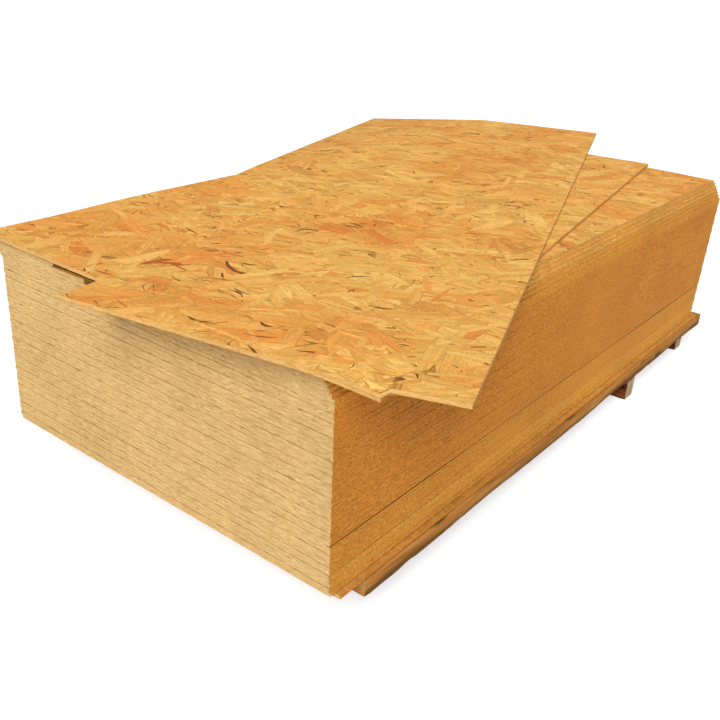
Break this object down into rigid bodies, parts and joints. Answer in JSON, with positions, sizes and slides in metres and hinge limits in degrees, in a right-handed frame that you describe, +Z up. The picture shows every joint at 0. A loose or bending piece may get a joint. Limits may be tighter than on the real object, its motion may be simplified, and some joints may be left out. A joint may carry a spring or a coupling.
{
  "type": "stack of oriented strand board sheets",
  "caption": "Bundle of oriented strand board sheets lying flat on timber stringers and bearers, with loose sheets askew on top and fork gaps underneath.",
  "frame": {"origin": "middle of the whole outline seen from above, at floor level", "axes": "+X along the sheets' length, +Y across their width, +Z up"},
  "size_m": [3.0664, 2.1126, 0.766],
  "materials": {
    "osb": "pressed strand board, matt",
    "sawn_timber": "rough-sawn softwood, weathered"
  },
  "bodies": {
    "root": {"bearer_1": "sawn_timber", "bearer_2": "sawn_timber", "bearer_3": "sawn_timber", "bearer_4": "sawn_timber", "stringer_near": "sawn_timber", "stringer_far": "sawn_timber", "cover_sheet": "osb", "stack_sheet_01": "osb", "stack_sheet_02": "osb", "stack_sheet_03": "osb", "stack_sheet_04": "osb", "stack_sheet_05": "osb", "stack_sheet_06": "osb", "stack_sheet_07": "osb", "stack_sheet_08": "osb", "stack_sheet_09": "osb", "stack_sheet_10": "osb", "stack_sheet_11": "osb", "stack_sheet_12": "osb", "stack_sheet_13": "osb", "stack_sheet_14": "osb", "stack_sheet_15": "osb", "stack_sheet_16": "osb", "stack_sheet_17": "osb", "stack_sheet_18": "osb", "stack_sheet_19": "osb", "stack_sheet_20": "osb", "stack_sheet_21": "osb", "stack_sheet_22": "osb", "stack_sheet_23": "osb", "stack_sheet_24": "osb", "stack_sheet_25": "osb", "stack_sheet_26": "osb", "stack_sheet_27": "osb", "stack_sheet_28": "osb", "stack_sheet_29": "osb", "stack_sheet_30": "osb", "stack_sheet_31": "osb", "stack_sheet_32": "osb", "stack_sheet_33": "osb", "stack_sheet_34": "osb", "stack_sheet_35": "osb", "stack_sheet_36": "osb", "stack_sheet_37": "osb", "stack_sheet_38": "osb", "stack_sheet_39": "osb", "stack_sheet_40": "osb", "stack_sheet_41": "osb", "stack_sheet_42": "osb", "stack_sheet_43": "osb", "stack_sheet_44": "osb", "stack_sheet_45": "osb", "stack_sheet_46": "osb", "stack_sheet_47": "osb", "stack_sheet_48": "osb", "stack_sheet_49": "osb", "stack_sheet_50": "osb", "loose_sheet_lower": "osb", "loose_sheet_upper": "osb", "loose_sheet_middle": "osb"}
  },
  "joints": []
}
